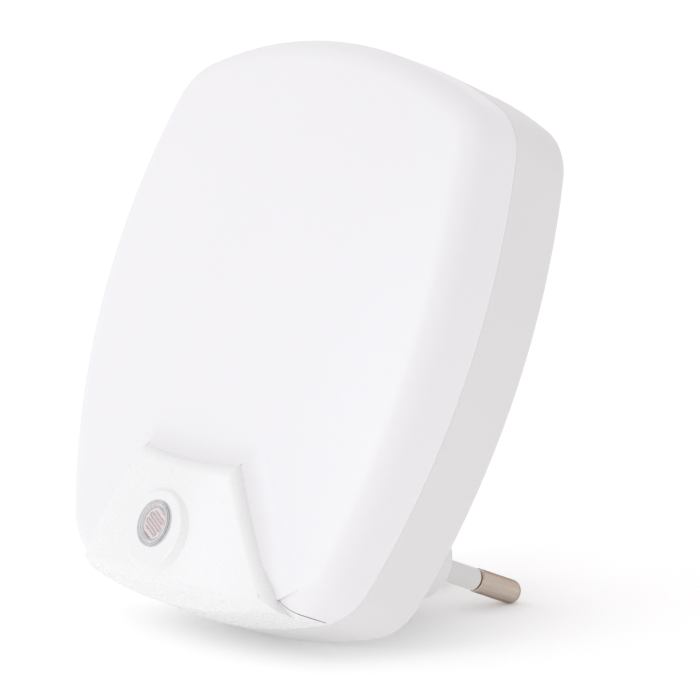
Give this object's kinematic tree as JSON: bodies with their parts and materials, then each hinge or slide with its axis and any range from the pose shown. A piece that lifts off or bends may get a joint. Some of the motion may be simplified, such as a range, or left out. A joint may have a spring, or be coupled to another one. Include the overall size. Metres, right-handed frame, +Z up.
{
  "type": "plug-in night light",
  "caption": "Plug-in night light: a drafted case with a plug boss and sleeved pins, a crowned translucent front, and a bulged foot panel with a light sensor.",
  "frame": {"origin": "centre of the plug boss's flat end face, midway between the two pins", "axes": "+Y out of the boss along the pins, into the socket; +Z up, as it sits in a wall socket; the lit front faces -Y"},
  "size_m": [0.0824, 0.0701, 0.0939],
  "materials": {
    "case_plastic": "fine satin-gloss moulded white ABS",
    "diffuser_plastic": "milky translucent white, smooth gloss",
    "panel_plastic": "opaque white, smooth gloss",
    "clear_plastic": "clear acrylic, polished",
    "cell_ceramic": "pinkish coated ceramic",
    "cell_track": "brown-red sulphide track",
    "shroud_plastic": "black heat-shrink tube",
    "tinned_wire": "tinned, plain",
    "pin_nickel": "brass with bright nickel plating",
    "sleeve_plastic": "pale grey-white satin nylon",
    "board_laminate": "tan phenolic paper laminate",
    "screw_steel": "zinc plated",
    "led_resin": "clear epoxy over yellow phosphor",
    "capacitor_case": "moulded red-brown box",
    "black_epoxy": "moulded black epoxy",
    "capacitor_can": "aluminium can in a black sleeve",
    "resistor_lacquer": "beige lacquer",
    "diode_glass": "orange sealed glass",
    "wire_brown": "brown insulation",
    "wire_blue": "blue insulation"
  },
  "bodies": {
    "root": {"rear_case": "case_plastic", "diffuser": "diffuser_plastic", "sensor_panel": "panel_plastic", "sensor_window": "clear_plastic", "ldr_cell": "cell_ceramic", "ldr_track": "cell_track", "ldr_shroud": "shroud_plastic", "ldr_leads": "tinned_wire", "pin_left": "pin_nickel", "pin_right": "pin_nickel", "sleeve_left": "sleeve_plastic", "sleeve_right": "sleeve_plastic", "circuit_board": "board_laminate", "board_screws": "screw_steel", "led_1": "led_resin", "led_2": "led_resin", "led_3": "led_resin", "led_4": "led_resin", "led_leads": "tinned_wire", "film_capacitor": "capacitor_case", "bridge_rectifier": "black_epoxy", "smoothing_capacitor": "capacitor_can", "surge_resistor": "resistor_lacquer", "bleed_resistor": "resistor_lacquer", "bias_resistor": "resistor_lacquer", "switching_transistor": "black_epoxy", "zener_diode": "diode_glass", "component_leads": "tinned_wire", "live_wire": "wire_brown", "neutral_wire": "wire_blue", "wire_ends": "tinned_wire"}
  },
  "joints": []
}
